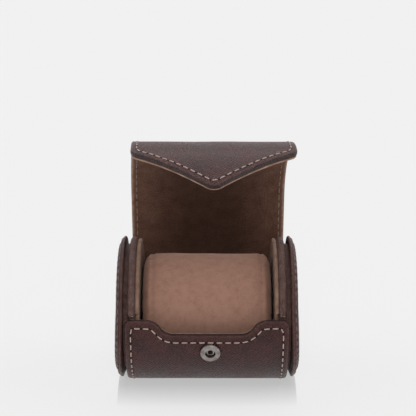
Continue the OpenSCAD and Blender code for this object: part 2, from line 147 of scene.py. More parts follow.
def lay_course():
    """The wrap's middle line: how far along, its lean, and its place, eased at every change."""
    front = -180 - FRONT_TURN
    runs = (
        (LEAD, front, front),
        (FRONT_LEN, front, -90 - BASE_TURN),
        (BASE_LEN, -90, -90),
        (BACK_LEN, -90 + BASE_TURN, RISE_LEAN),
        (RISE_LEN, RISE_LEAN, RISE_LEAN),
        (HEEL_LEN, HEEL_LEAN, HEEL_LEAN),
        (CROWN_FLAT, CROWN_LEAN, CROWN_LEAN),
        (CROWN_LEN, CROWN_LEAN, CROWN_LEAN + CROWN_TURN),
        (TIP_LEN, TIP_LEAN, TIP_LEAN + TIP_TURN),
        (LEAD, TIP_LEAN + TIP_TURN, TIP_LEAN + TIP_TURN + 5),
    )
    knots, leans, at = [], [], -LEAD
    for length, first, last in runs:
        knots += [at + 1e-6, at + length]
        leans += [first, last]
        at += length
    step = 0.25
    along = np.arange(-LEAD, at, step)
    lean = np.interp(along, knots, leans)
    near = np.exp(-0.5 * (np.arange(-6, 6.01, step) / 2.0) ** 2)
    padded = np.pad(lean, len(near) // 2, mode="edge")
    lean = np.radians(np.convolve(padded, near / near.sum(), mode="valid"))
    step_y, step_z = -np.sin(lean) * step, np.cos(lean) * step
    y = np.cumsum(step_y) - step_y / 2
    z = np.cumsum(step_z) - step_z / 2
    y -= np.interp(S_BASE, along, y)
    z += MID_U - np.interp(S_BASE, along, z)
    return along, lean, y, z


COURSE_S, COURSE_LEAN, COURSE_Y, COURSE_Z = lay_course()


def ease(first, last, value):
    """From 0 at the first value to 1 at the last, with soft ends."""
    k = np.clip((value - first) / (last - first), 0, 1)
    return k * k * (3 - 2 * k)


def flap_skew(s):
    """How far the flap has drifted to the right, because the leather was bent a little askew."""
    return 0.4 * ease(S_HEEL - 12, S_HEEL, s) + 2.65 * ease(S_BEND, S_TIP, s)


def on_wrap(x, s, u):
    """Where a spot lies that is x across, s along and u out from the wrap's inner face."""
    lean = np.interp(s, COURSE_S, COURSE_LEAN)
    y = np.interp(s, COURSE_S, COURSE_Y) + np.cos(lean) * (u - MID_U)
    z = np.interp(s, COURSE_S, COURSE_Z) + np.sin(lean) * (u - MID_U)
    return np.stack([x + flap_skew(s), y, z], axis=-1)


# Each length of the wrap: its name and body, where it starts and ends, the body past its flex
# line, where that line is, and the CAD pieces in it.
WRAP_LENGTHS = (
    ("case", -LEAD, HEEL_SEAM, "heel", S_HEEL, ("body",)),
    ("heel", HEEL_SEAM, CROWN_SEAM, "flap", S_CROWN, ("heel",)),
    ("flap", CROWN_SEAM, S_POINT + LEAD, "tip", S_TIP, ("crown", "tip")),
)


def flex_over(obj, body, next_body, flex):
    """Turns a piece smoothly from one body to the next, over the flex line between them."""
    start = Vector(on_wrap(0, flex - FLEX, MID_U)) * MM
    end = Vector(on_wrap(0, flex + FLEX, MID_U)) * MM
    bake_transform(obj, body, next_body, start=start, end=end)


# ---- shared ways of working ----

def ripple(place, size, seed=0.0):
    """A smooth unevenness from -1 to 1, in waves of about this size."""
    return noise.noise(Vector(place) / size + Vector((seed, seed * 0.7, -seed)))


def finished(name, bm, material, smooth=40):
    """Makes a piece, worked in mm, into an object in metres that keeps its place in its mesh."""
    bmesh.ops.scale(bm, vec=(MM, MM, MM), verts=bm.verts)
    mesh = bpy.data.meshes.new(name)
    bm.to_mesh(mesh)
    bm.free()
    mesh.polygons.foreach_set("use_smooth", [True] * len(mesh.polygons))
    mesh.set_sharp_from_angle(angle=math.radians(smooth))
    mesh.materials.append(material)
    obj = bpy.data.objects.new(name, mesh)
    bpy.context.scene.collection.objects.link(obj)
    return obj


def round_corner(bm, corner, offset, segments):
    """Rounds one corner of a flat outline or profile."""
    bmesh.ops.bevel(
        bm, geom=[corner], offset=offset, offset_type="OFFSET", segments=segments,
        profile=0.5, affect="VERTICES", clamp_overlap=True, material=-1,
    )


def cut_lines(bm, axis, places):
    """Cuts the work across at each place, so that it can bend there."""
    normal = [0, 0, 0]
    normal[axis] = 1
    for place in places:
        bmesh.ops.bisect_plane(
            bm, geom=bm.verts[:] + bm.edges[:] + bm.faces[:], dist=1e-4,
            plane_co=[n * place for n in normal], plane_no=normal,
        )


def cut_length(bm, first, last):
    """The part of a flat strip between two places along it, with its cut ends closed."""
    part = bm.copy()
    for place, keep in ((first, 1), (last, -1)):
        bmesh.ops.bisect_plane(
            part, geom=part.verts[:] + part.edges[:] + part.faces[:], dist=1e-4,
            plane_co=(0, place, 0), plane_no=(0, -keep, 0), clear_outer=True,
        )
        ends = [e for e in part.edges if e.is_boundary]
        bmesh.ops.holes_fill(part, edges=ends, sides=0)
    return part


def bend_round(bm):
    """Bends flat work to its place on the case and notes where it lay when flat."""
    lay = bm.verts.layers.float_vector.get("lay") or bm.verts.layers.float_vector.new("lay")
    flat = np.array([v.co for v in bm.verts])
    wave = np.array([ripple((x, s, 0), WAVE_SIZE) for x, s, _ in flat])
    wave *= WAVE_H * ease(BASE_LEN / 2, BASE_LEN / 2 + 8, abs(flat[:, 1] - S_BASE))
    place = on_wrap(flat[:, 0], flat[:, 1], flat[:, 2] + wave)
    for v, old, new in zip(bm.verts, flat, place):
        v[lay] = Vector(old) * MM
        v.co = new
    bmesh.ops.recalc_face_normals(bm, faces=bm.faces)


# ---- the wrap: leather, boards and lining, each cut flat and bent round ----

def wrap_blank():
    """The flat outline of the wrap: scalloped at the front, pointed at the flap's end."""
    bm = bmesh.new()
    half_turn = math.atan(SCALLOP_DEPTH / SCALLOP_RUN)
    scallop_r = SCALLOP_RUN / (2 * math.sin(2 * half_turn))
    reach = scallop_r * math.tan(half_turn)
    tip_chord = 2 * TIP_R * math.sin(TIP_LEN / TIP_R / 2)
    drop = tip_chord - TIP_SHOULDER - POINT_R
    slant = math.acos(POINT_R / math.hypot(HALF_W, drop)) - math.atan(drop / HALF_W)
    shoulder = S_TIP + TIP_SHOULDER
    point = S_POINT - POINT_R + POINT_R / math.sin(slant)
    corners = (
        (SCALLOP_FLAT + reach, SCALLOP_DEPTH, reach * 0.995, 9),
        (SCALLOP_FLAT + SCALLOP_RUN - reach, 0, reach * 0.995, 9),
        (HALF_W, 0, FRONT_CORNER_R, 6),
        (HALF_W, shoulder, TIP_CORNER_R * math.tan(slant / 2), 7),
        (0, point, POINT_R * math.tan(math.pi / 2 - slant), 9),
    )
    right = [(bm.verts.new((x, s, 0)), offset, n) for x, s, offset, n in corners]
    left = [(bm.verts.new((-x, s, 0)), offset, n) for x, s, offset, n in corners[:4]][::-1]
    bm.faces.new([v for v, _, _ in right + left])
    for corner, offset, segments in right + left:
        round_corner(bm, corner, offset, segments)
    bm.verts.layers.float.new("rim")
    bm.verts.layers.float_vector.new("lay")
    return bm


def step_in(bm, face, steps):
    """Works a face inwards from its edge in steps of (distance in, height)."""
    rim = bm.verts.layers.float["rim"]
    at = 0.0
    for inward, height in steps:
        bmesh.ops.inset_region(
            bm, faces=[face], thickness=inward - at, use_boundary=True, use_even_offset=True
        )
        at = inward
        for v in face.verts:
            v.co.z = height
            v[rim] = inward


def plate(edge_inset, low, high, low_steps, high_steps):
    """A flat plate of the wrap's outline, with its edges worked on both faces."""
    bm = wrap_blank()
    bm.faces.ensure_lookup_table()
    face = bm.faces[0]
    if edge_inset:
        ring = bmesh.ops.inset_region(
            bm, faces=[face], thickness=edge_inset, use_boundary=True, use_even_offset=True
        )["faces"]
        bmesh.ops.delete(bm, geom=ring, context="FACES")
    for v in face.verts:
        v.co.z = low
    drawn = bmesh.ops.extrude_face_region(bm, geom=[face])["geom"]
    top = next(g for g in drawn if isinstance(g, bmesh.types.BMFace))
    for v in top.verts:
        v.co.z = high
    bm.faces.ensure_lookup_table()
    level = [f for f in bm.faces if all(abs(v.co.z - low) < 1e-6 for v in f.verts)]
    base = next(f for f in level if f != top)
    step_in(bm, top, high_steps)
    step_in(bm, base, low_steps)
    return bm


# Each layer's two heights, then the steps of (distance in, height) that work its under and
# upper edges: leather pared and turned under, suede rounded below, board left square.
HIDE_EDGE = (
    1.7, 2.6,
    ((0.15, 1.3), (0.45, 1.0), (1.15, 1.0), (1.2, 2.4)),
    ((0.15, 3.05), (0.42, 3.36), (0.8, 3.54), (1.3, WALL_T), (2.0, WALL_T), (2.95, WALL_T)),
)
LINING_EDGE = (0.4, 0.98, ((0.12, 0.18), (0.35, 0.05), (0.7, 0.0), (2.1, 0.0)), ((0.6, 0.98),))
BOARD_EDGE = (1.02, 2.36, (), ())


def cut_to_bend(bm):
    """Cuts a flat piece of the wrap finely along and coarsely across, ready to bend."""
    cut_lines(bm, 1, np.arange(CUT_ALONG, S_POINT, CUT_ALONG))
    cut_lines(bm, 0, np.arange(-5.5 * CUT_ACROSS, 5.6 * CUT_ACROSS, CUT_ACROSS))


def dress_wrap(leather, suede, board):
    """The strip in three lengths, each bending across one flex line, in leather and suede."""
    hide = plate(0, *HIDE_EDGE)
    lining = plate(LINING_INSET, *LINING_EDGE)
    cut_to_bend(hide)
    cut_to_bend(lining)
    for body, first, last, next_body, flex, nodes in WRAP_LENGTHS:
        for bm, kind, finish, slot, cad in (
            (hide, "leather", leather, "leather", "cover"),
            (lining, "lining", suede, "suede", "lining"),
        ):
            part = cut_length(bm, first, last)
            bend_round(part)
            obj = finished(f"{body}_{kind}", part, finish)
            flex_over(obj, body, next_body, flex)
            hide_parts(*[f"{node}_{cad}" for node in nodes])
    hide.free()
    lining.free()
    blank = plate(BOARD_INSET, *BOARD_EDGE)
    cut_lines(blank, 1, np.arange(CUT_ALONG, S_POINT, CUT_ALONG))
    for node, first, last, body in (
        ("crown", S_CROWN + STIFFENER_GAP, S_TIP - STIFFENER_GAP, "flap"),
        ("tip", S_TIP + STIFFENER_GAP, S_POINT, "tip"),
    ):
        part = cut_length(blank, first, last)
        bend_round(part)
        obj = finished(f"{node}_stiffener", part, board)
        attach(obj, body)
        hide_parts(f"{node}_board")
    blank.free()


def stitch_line(inset):
    """The flat line that the stitches follow, a set distance in from the wrap's edge."""
    bm = wrap_blank()
    bm.faces.ensure_lookup_table()
    face = bm.faces[0]
    bmesh.ops.inset_region(
        bm, faces=[face], thickness=inset, use_boundary=True, use_even_offset=True
    )
    line = np.array([v.co[:2] for v in face.verts])
    bm.free()
    line[:, 1] += (FRONT_STITCH_IN - STITCH_IN) * (1 - ease(9, 16, line[:, 1]))
    return np.vstack([line, line[:1]])


def spaced(line, pitch):
    """Places and directions at an even pitch along a closed line."""
    length = np.r_[0, np.cumsum(np.hypot(*np.diff(line, axis=0).T))]
    count = round(length[-1] / pitch)
    at = (np.arange(count) + 0.5) * length[-1] / count
    half = STITCH_LEN / 2
    ends = []
    for offset in (-half, half):
        t = (at + offset) % length[-1]
        ends.append(np.stack([np.interp(t, length, line[:, k]) for k in (0, 1)], axis=-1))
    return list(zip(*ends))


def lay_stitch(bm, a, b, u, out=1.0, thick=THREAD_D, tight=0.28):
    """One stitch, lying between two holes: round, with its ends drawn down into them."""
    a, b = Vector((*a, u)), Vector((*b, u))
    along = b - a
    turn = math.atan2(along.y, along.x)
    matrix = Matrix.Translation((a + b) / 2) @ Matrix.Rotation(turn, 4, "Z")
    new = bmesh.ops.create_uvsphere(bm, u_segments=8, v_segments=7, radius=1.0)["verts"]
    for v in new:
        pole = max(-1.0, min(1.0, v.co.z))
        swell = math.sqrt(max(0.0, 1 - pole * pole))
        girth = (swell ** 0.45) / swell if swell > 1e-4 else 0.0
        x, y, z = pole, v.co.x * girth, v.co.y * girth
        v.co = (
            x * along.length / 2 * 1.03, y * thick / 2,
            out * (z * thick / 2 + thick * 0.06 - tight * x ** 4),
        )
    bmesh.ops.transform(bm, matrix=matrix, verts=new)
    return new


def prick_hole(bm, a, u):
    """A dark disc of painted shadow, standing for the hole that a stitch goes down into."""
    new = bmesh.ops.create_uvsphere(bm, u_segments=8, v_segments=4, radius=1.0)["verts"]
    bmesh.ops.scale(bm, vec=(HOLE_R, HOLE_R, HOLE_H), verts=new)
    bmesh.ops.translate(bm, vec=(*a, u), verts=new)


def dress_stitching(thread, lining_thread, hole):
    """Pale thread along the leather's edge, painted shadow for its holes, and duller thread on the flap's
    lining.
    """
    line = stitch_line(STITCH_IN)
    stitches = spaced(line, STITCH_PITCH)
    for body, first, last, next_body, flex, _ in WRAP_LENGTHS:
        outside, inside, holes = bmesh.new(), bmesh.new(), bmesh.new()
        for a, b in stitches:
            middle = (a[1] + b[1]) / 2
            if not first < middle <= last:
                continue
            sunk = BASE_SUNK * (1 - ease(BASE_LEN / 2, BASE_LEN / 2 + 6, abs(middle - S_BASE)))
            lay_stitch(outside, a, b, WALL_T - sunk)
            for c, d in ((a, b), (b, a)):
                # Each stitch end gets a dark disc of painted shadow.
                prick_hole(holes, c + (c - d) * 0.05, WALL_T)
            if a[1] > S_HEEL - 4:
                lay_stitch(
                    inside, a, b, 0.02, out=-1.0, thick=LINING_THREAD_D, tight=LINING_TIGHT
                )
        for bm, kind, finish in (
            (outside, "stitches", thread), (inside, "lining_stitches", lining_thread),
            (holes, "stitch_hole_shadows", hole),
        ):
            if not bm.verts:
                bm.free()
                continue
            bend_round(bm)
            obj = finished(f"{body}_{kind}", bm, finish, smooth=80)
            flex_over(obj, body, next_body, flex)


# ---- turned pieces, from a profile of (x, r) spun round the roll's axis ----

def turned(corners, closed, axis, steps):
    """Spins a profile of (x, z, rounding, segments) right round an axis."""
    bm = bmesh.new()
    chain = [(bm.verts.new((x, 0, z)), rounding, n) for x, z, rounding, n in corners]
    verts = [v for v, _, _ in chain]
    for a, b in zip(verts, verts[1:] + (verts[:1] if closed else [])):
        bm.edges.new((a, b))
    for v, rounding, n in chain:
        if rounding:
            round_corner(bm, v, rounding, n)
    bmesh.ops.spin(
        bm, geom=bm.verts[:] + bm.edges[:], cent=(0, 0, 0), axis=axis,
        angle=2 * math.pi, steps=steps, use_merge=True,
    )
    bmesh.ops.remove_doubles(bm, verts=bm.verts, dist=1e-4)
    bmesh.ops.recalc_face_normals(bm, faces=bm.faces)
    return bm


def spun(corners, steps, closed=False):
    """Spins a profile of (x, r, rounding, segments) right round the roll's axis."""
    bm = turned(corners, closed, (1, 0, 0), steps)
    bm.verts.layers.float.new("rim")
    return bm


def push_out(v, r, depth):
    """Moves a spot that is r out from the roll's axis a little further out, or in."""
    v.co.y *= 1 + depth / r
    v.co.z *= 1 + depth / r


def end_name(side, name):
    """The name of a piece at one end of the roll."""
    return ("left_" if side < 0 else "right_") + name


def set_on_axis(bm, side):
    """Takes a turned piece to its end of the roll."""
    if side < 0:
        bmesh.ops.scale(bm, vec=(-1, 1, 1), verts=bm.verts)
        bmesh.ops.recalc_face_normals(bm, faces=bm.faces)
    bmesh.ops.translate(bm, vec=(0, 0, AXIS_H), verts=bm.verts)


def seat_in_wrap(bm):
    """Draws a round piece in wherever the wrap holds it: below, in front and behind."""
    for v in bm.verts:
        r = math.hypot(v.co.y, v.co.z)
        if r < 1:
            continue
        across, up = v.co.y / r, v.co.z / r
        inset = RIM_R - r
        keep = INNER_R - RIM_GAP - inset
        reach = r
        wall_top = math.asin(min(1.0, (FRONT_SIDE_Z + RIM_GAP + inset) / max(keep, 8.0)))
        if across > 0:
            lean = math.radians(RISE_LEAN)
            toward = across * math.cos(lean) + up * math.sin(lean)
            if toward * r > keep:
                reach = keep / toward
            if up < 0:
                reach = min(reach, keep)
        elif across < 0 and math.atan2(up, -across) < wall_top + 0.006:
            reach = keep
        if up < 0:
            reach = min(reach, (AXIS_H - WALL_T - RIM_GAP - inset) / -up)
        v.co.y *= reach / r
        v.co.z *= reach / r


def gathered_band(side, finish):
    """Thin leather drawn over a side wall's rim, with fine gathers across it."""
    low = RIM_R - BAND_TURN
    bm = spun(
        (
            (SIDE_OUT_X, low, 0.3, 2), (SIDE_OUT_X, RIM_R, 1.45, 7),
            (SIDE_IN_X, RIM_R, 1.45, 7), (SIDE_IN_X, low, 0.3, 2),
            (SIDE_IN_X + 0.75, low, 0, 1), (SIDE_IN_X + 0.75, RIM_R - BAND_T, 0, 1),
            (SIDE_OUT_X - 0.75, RIM_R - BAND_T, 0, 1), (SIDE_OUT_X - 0.75, low, 0, 1),
        ),
        420, closed=True,
    )
    rim = bm.verts.layers.float["rim"]
    middle = (SIDE_OUT_X + SIDE_IN_X) / 2
    for v in bm.verts:
        r = math.hypot(v.co.y, v.co.z)
        across = v.co.x - middle
        v[rim] = RIM_R - r
        over = max(0.0, 1 - (RIM_R - r) / GATHER_REACH)
        if r > RIM_R - BAND_T - 0.01 and over > 0:
            turn = math.atan2(v.co.y, v.co.z) * RIM_R + 0.5 * across * side
            gather = math.sin(turn * 3.1 + 3 * ripple((turn, across, side), 5.0))
            crossing = math.sin(turn * 1.9 - 2.2 * across + 2 * ripple((turn, 7, side), 6.0))
            depth = over * (GATHER_H * gather + CROSSING_H * crossing - GATHER_SET)
            push_out(v, r, depth)
    seat_in_wrap(bm)
    set_on_axis(bm, side)
    return finished(end_name(side, "rim_leather"), bm, finish, smooth=60)


def side_panel(side, finish):
    """The suede panel inside a side wall, its rounded edge a little puckered."""
    edge = RIM_R - 0.6
    bm = spun(
        (
            (PANEL_X + 0.25, 0, 0, 1), (PANEL_X + 0.15, 20, 0, 1), (PANEL_X, 29.6, 0.9, 3),
            (PANEL_X + 0.1, edge, 0.75, 6), (SIDE_IN_X - 0.02, edge - 0.2, 0.4, 3),
            (SIDE_IN_X - 0.02, 0, 0, 1),
        ),
        300,
    )
    rim = bm.verts.layers.float["rim"]
    for v in bm.verts:
        r = math.hypot(v.co.y, v.co.z)
        v[rim] = edge - r
        if r > 20:
            turn = math.atan2(v.co.y, v.co.z) * RIM_R
            near = max(0.0, 1 - (edge - r) / PUCKER_REACH)
            pucker = math.sin(turn * 1.25 + 4 * ripple((turn, side * 9, 0), 9.0))
            depth = near * (PUCKER_H * pucker - PUCKER_H)
            push_out(v, r, depth)
            v.co.x += 0.1 * near * math.sin(turn * 0.9 + 2) * (v.co.x < PANEL_X + 0.6)
    seat_in_wrap(bm)
    set_on_axis(bm, side)
    return finished(end_name(side, "side_suede"), bm, finish, smooth=60)


def splayed(x, z):
    """The caps stand a little further out at the bottom than at the top."""
    return x + CAP_SPLAY * float(ease(12, -22, z))


def splay(bm):
    """Leans a whole piece of an end cap out at the bottom."""
    for v in bm.verts:
        v.co.x = splayed(v.co.x, v.co.z)


def cap_back(side, finish):
    """The stiff backing of an end cap, with leather turned round its edge."""
    bm = spun(
        (
            (CAP_X, 0, 0, 1), (CAP_X, HUB_R, 0, 1), (CAP_X, CAP_R, 0.5, 5),
            (CAP_FACE_X - 0.02, CAP_R, 0.5, 5),
            (CAP_FACE_X - 0.02, CAP_LIP_R, 0, 1), (CAP_LIP_X, CAP_LIP_R, 0, 1),
            (CAP_LIP_X, CAP_R - CAP_TURN_T, 0, 1),
            (CAP_X + CAP_TURN_T, CAP_R - CAP_TURN_T, 0, 1), (CAP_X + CAP_TURN_T, 0, 0, 1),
        ),
        240,
    )
    rim = bm.verts.layers.float["rim"]
    for v in bm.verts:
        r = math.hypot(v.co.y, v.co.z)
        v[rim] = CAP_R - r
        if r > CAP_R - 0.6:
            turn = math.atan2(v.co.y, v.co.z) * CAP_R
            depth = 0.05 * ripple((turn, side * 5, v.co.x), 3.0) - 0.03
            push_out(v, r, depth)
        if r > HUB_R + 0.1 or v.co.x > CAP_X + 0.1:
            v.co.x = splayed(v.co.x, v.co.z)
    set_on_axis(bm, side)
    return finished(end_name(side, "cap_leather"), bm, finish, smooth=50)


# The profile of a cap's hollow, which its foam fills.
DOME_INSIDE = (
    (CAP_FACE_X, DOME_R - COVER_T, 0, 1), (CAP_FACE_X + 1.25, DOME_R - COVER_T, 1.2, 5),
    (DOME_X - 1.2 - COVER_T, DOME_R - 2.0, 0, 1), (DOME_X - COVER_T, 0, 0, 1),
)


def cap_dome(side, finish):
    """The padded leather of an end cap, drawn down between its stitches."""
    bm = spun(
        (
            (DOME_X, 0, 0, 1), (DOME_X - 0.1, 8, 0, 1), (DOME_X - 0.35, 16, 0, 1),
            (DOME_X - 0.75, 23, 0, 1), (DOME_X - 1.25, DOME_R - 0.6, 1.7, 8),
            (CAP_FACE_X + COVER_T, DOME_R, 0.3, 4),
            (CAP_FACE_X + COVER_T, FLANGE_R, 0.3, 4), (CAP_FACE_X, FLANGE_R, 0, 1),
            *DOME_INSIDE,
        ),
        CAP_STITCHES * 8,
    )
    rim = bm.verts.layers.float["rim"]
    for v in bm.verts:
        r = math.hypot(v.co.y, v.co.z)
        v[rim] = FLANGE_R - r
        turn = math.atan2(v.co.y, v.co.z)
        outer = v.co.x > CAP_FACE_X + COVER_T - 0.05
        if outer and r > 22:
            pull = 0.5 + 0.5 * math.cos(turn * CAP_STITCHES)
            near = float(ease(22, DOME_R - 0.3, r) * (1 - ease(DOME_R + 0.1, FLANGE_R, r)))
            depth = -near * (CAP_PULL * pull + 0.1 * ripple((turn * DOME_R, side, 0), 4.0))
            push_out(v, r, depth)
            v.co.x -= near * CAP_DIP * pull
        if outer:
            v.co.x += 0.12 * ripple((v.co.x, v.co.y, v.co.z), 9.0) * (r < 27)
    splay(bm)
    set_on_axis(bm, side)
    return finished(end_name(side, "cap_cover_leather"), bm, finish, smooth=60)


def cap_core(side, finish):
    """The board inside an end cap's backing."""
    bm = spun(
        (
            (CAP_X + CAP_TURN_T, 0, 0, 1), (CAP_X + CAP_TURN_T, CAP_R - CAP_TURN_T, 0, 1),
            (CAP_LIP_X, CAP_R - CAP_TURN_T, 0, 1), (CAP_LIP_X, CAP_LIP_R, 0, 1),
            (CAP_FACE_X, CAP_LIP_R, 0, 1), (CAP_FACE_X, DOME_R - COVER_T, 0, 1),
            (CAP_FACE_X, 0, 0, 1),
        ),
        240,
    )
    splay(bm)
    set_on_axis(bm, side)
    return finished(end_name(side, "cap_stiffener"), bm, finish, smooth=40)


def cap_foam(side, finish):
    """The foam under an end cap's leather."""
    bm = spun(((CAP_FACE_X, 0, 0, 1), *DOME_INSIDE), 240)
    splay(bm)
    set_on_axis(bm, side)
    return finished(end_name(side, "cap_foam"), bm, finish, smooth=40)


def cap_stitching(side, finish):
    """A ring of stitches on an end cap's flange."""
    bm = bmesh.new()
    stitch_r = (DOME_R + FLANGE_R) / 2 + 0.1
    pitch = 2 * math.pi / CAP_STITCHES
    half = CAP_STITCH_LEN / 2
    for k in range(CAP_STITCHES):
        new = lay_stitch(bm, (-half, 0), (half, 0), 0.0, tight=CAP_TIGHT)
        place = (
            Matrix.Rotation((k + 0.5) * pitch, 4, "X")
            @ Matrix.Translation((CAP_FACE_X + COVER_T, 0, stitch_r))
            @ Matrix.Rotation(math.pi / 2, 4, "Y") @ Matrix.Rotation(math.pi / 2, 4, "Z")
        )
        bmesh.ops.transform(bm, matrix=place, verts=new)
    splay(bm)
    set_on_axis(bm, side)
    return finished(end_name(side, "cap_stitches"), bm, finish, smooth=80)


def dress_ends(leather, thin_leather, suede, thread, board, foam):
    """Both ends of the roll: a side wall and the padded cap outside it."""
    for side in (-1, 1):
        for obj, slot, node in (
            (gathered_band(side, thin_leather), "thin_leather", "side_band"),
            (side_panel(side, suede), "suede", "side_lining"),
            (cap_back(side, leather), "leather", "cap_edge"),
            (cap_dome(side, leather), "leather", "cap_cover"),
            (cap_core(side, board), "board", "cap_board"),
            (cap_foam(side, foam), "foam", "cap_padding"),
            (cap_stitching(side, thread), "leather", None),
        ):
            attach(obj, "case")
            if node:
                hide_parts(end_name(side, node))


# ---- the press stud's socket ----

def snap_socket(finish):
    """A pressed steel socket: rolled foot, stepped face and a rolled lip round its mouth."""
    outline = (
        (1.2, 0.0, 0, 1), (1.2, 0.35, 0, 1), (3.7, 0.35, 0, 1), (3.7, 0.95, 0, 1),
        (2.2, 0.95, 0, 1), (2.2, 1.6, 0.15, 4), (2.45, 1.88, 0.15, 4), (2.95, 1.9, 0.25, 4),
        (3.25, 1.66, 0.2, 4), (4.1, 1.6, 0.4, 5), (4.62, 1.15, 0.3, 5), (4.7, 0.0, 0, 1),
    )
    bm = turned(outline, True, (0, 0, 1), 96)
    place = (
        Matrix.Translation((SNAP_X, 0, AXIS_H))
        @ Matrix.Rotation(math.radians(90 + SNAP_ANGLE), 4, "X")
        @ Matrix.Translation((0, 0, OUTER_R - 0.3))
    )
    bmesh.ops.transform(bm, matrix=place, verts=bm.verts)
    obj = finished("socket_shell", bm, finish, smooth=35)
    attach(obj, "case")
    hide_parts("socket_cup")


# ---- the cushion ----

def cushion_blank():
    """An oval block with rounded ends, a little smaller than the finished cushion."""
    bm = bmesh.new()
    bmesh.ops.create_cone(
        bm, cap_ends=True, segments=72, radius1=1.0, radius2=1.0, depth=CUSHION_W,
    )
    ends = [e for e in bm.edges if abs(e.verts[0].co.z - e.verts[1].co.z) < 1e-6]
    oval = (CUSHION_D / 2 - CUSHION_BLANK_IN, CUSHION_H / 2 - CUSHION_BLANK_IN, 1)
    bmesh.ops.scale(bm, vec=oval, verts=bm.verts)
    bmesh.ops.rotate(bm, matrix=Matrix.Rotation(math.pi / 2, 3, "Z"), verts=bm.verts)
    bmesh.ops.rotate(bm, matrix=Matrix.Rotation(math.pi / 2, 3, "Y"), verts=bm.verts)
    bmesh.ops.bevel(
        bm, geom=ends, offset=CUSHION_BLANK_R, offset_type="OFFSET", segments=6,
        profile=0.5, affect="EDGES", clamp_overlap=True, material=-1,
    )
    return bm


def puffed(obj):
    """Lets cloth under light pressure fill the cushion out, held at its seams."""
    rest = [v.co.copy() for v in obj.data.vertices]
    seams = obj.vertex_groups.new(name="seams")
    off = [abs(abs(co.x) / CLOTH_SCALE / MM - CUSHION_SEAM_X) for co in rest]
    seams.add([i for i, distance in enumerate(off) if distance < SEAM_HELD], 1.0, "REPLACE")
    cloth = obj.modifiers.new("fill", "CLOTH").settings
    cloth.quality = 6
    cloth.mass = 0.3
    cloth.use_pressure = True
    cloth.uniform_pressure_force = 2.5
    cloth.tension_stiffness = cloth.compression_stiffness = 20.0
    cloth.shear_stiffness = 10.0
    cloth.bending_stiffness = 1.0
    cloth.vertex_group_mass = "seams"
    cloth.effector_weights.gravity = 0.0
    scene = bpy.context.scene
    for number in range(1, CLOTH_FRAMES + 1):
        scene.frame_set(number)
    solved = obj.evaluated_get(bpy.context.evaluated_depsgraph_get()).to_mesh()
    moved = [v.co.copy() for v in solved.vertices]
    obj.modifiers.clear()
    most = CUSHION_PUFF * MM * CLOTH_SCALE
    for v, start, end in zip(obj.data.vertices, rest, moved):
        step = end - start
        if step.length > most:
            step *= most / step.length
        v.co = start + step
    scene.frame_set(1)


def dress_cushion(suede):
    """The cushion: blocked out, filled by cloth, then tucked in at its two seams."""
    blank = finished("cushion_suede", cushion_blank(), suede)
    blank.data.transform(Matrix.Scale(CLOTH_SCALE, 4))
    remesh = blank.modifiers.new("skin", "REMESH")
    remesh.mode = "VOXEL"
    remesh.voxel_size = CUSHION_SKIN * MM * CLOTH_SCALE
    skinned = bpy.data.meshes.new_from_object(
        blank.evaluated_get(bpy.context.evaluated_depsgraph_get())
    )
    blank.modifiers.clear()
    blank.data = skinned
    puffed(blank)
    blank.data.transform(Matrix.Scale(1 / CLOTH_SCALE, 4))
    bm = bmesh.new()
    bm.from_mesh(blank.data)
    bmesh.ops.smooth_vert(
        bm, verts=bm.verts, factor=0.5, use_axis_x=True, use_axis_y=True, use_axis_z=True,
    )
    bmesh.ops.subdivide_edges(bm, edges=bm.edges, cuts=1, use_grid_fill=True, smooth=1.0)
    low, high = -CUSHION_H / 2 + CUSHION_TRIM, CUSHION_H / 2 - CUSHION_TRIM
    fill = [
        (size / 2 - CUSHION_TRIM) / max(abs(v.co[k]) for v in bm.verts)
        for k, size in enumerate((CUSHION_W + CUSHION_SPREAD, CUSHION_D, CUSHION_H))
    ]
    bmesh.ops.scale(bm, vec=fill, verts=bm.verts)
    for v in bm.verts:
        off = abs(abs(v.co.x) - CUSHION_SEAM_X)
        tuck = SEAM_TUCK * math.exp(-(off / 0.7) ** 2)
        turn = math.atan2(v.co.y, v.co.z)
        tuck += SEAM_PUCKER * math.exp(-(off / 2.6) ** 2) * (0.5 + 0.5 * math.sin(turn * 46))
        r = math.hypot(v.co.y, v.co.z)
        push_out(v, max(r, 5), -tuck)
        v.co.z += 0.35 * ripple(v.co, 13.0, 3.0)
        v.co.z = min(max(v.co.z, low), high)
        v.co.z += CUSHION_Z
    bmesh.ops.recalc_face_normals(bm, faces=bm.faces)
    bm.verts.layers.float.new("rim")
    old = blank.data
    bpy.data.objects.remove(blank)
    bpy.data.meshes.remove(old)
    obj = finished("cushion_suede", bm, suede, smooth=180)
    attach(obj, "cushion")
    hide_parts("cushion_cover", "cushion_core")


# ---- finishes ----

def srgb(r, g, b):
    """A colour as the eye names it, from 0 to 255, in the values that light mixes in."""
    return tuple(
        (c / 255 / 12.92 if c / 255 <= 0.04045 else ((c / 255 + 0.055) / 1.055) ** 2.4)
        for c in (r, g, b)
    ) + (1.0,)


def darker(colour, share):
    """A colour brought down to a share of its light."""
    return tuple(c * share for c in colour[:3]) + (1.0,)


class Effect:
    """A shared effect, built once as a node group with named inputs and outputs."""

    def __init__(self, name, inputs, outputs):
        self.tree = bpy.data.node_groups.new(name, "ShaderNodeTree")
        for kind, label, value in inputs:
            socket = self.tree.interface.new_socket(label, in_out="INPUT", socket_type=kind)
            if value is not None:
                socket.default_value = value
        for kind, label in outputs:
            self.tree.interface.new_socket(label, in_out="OUTPUT", socket_type=kind)
        self.start = self.tree.nodes.new("NodeGroupInput").outputs
        self.end = self.tree.nodes.new("NodeGroupOutput").inputs

    def node(self, kind, **settings):
        return add_node(self.tree, kind, **settings)

    def join(self, source, target):
        self.tree.links.new(source, target)


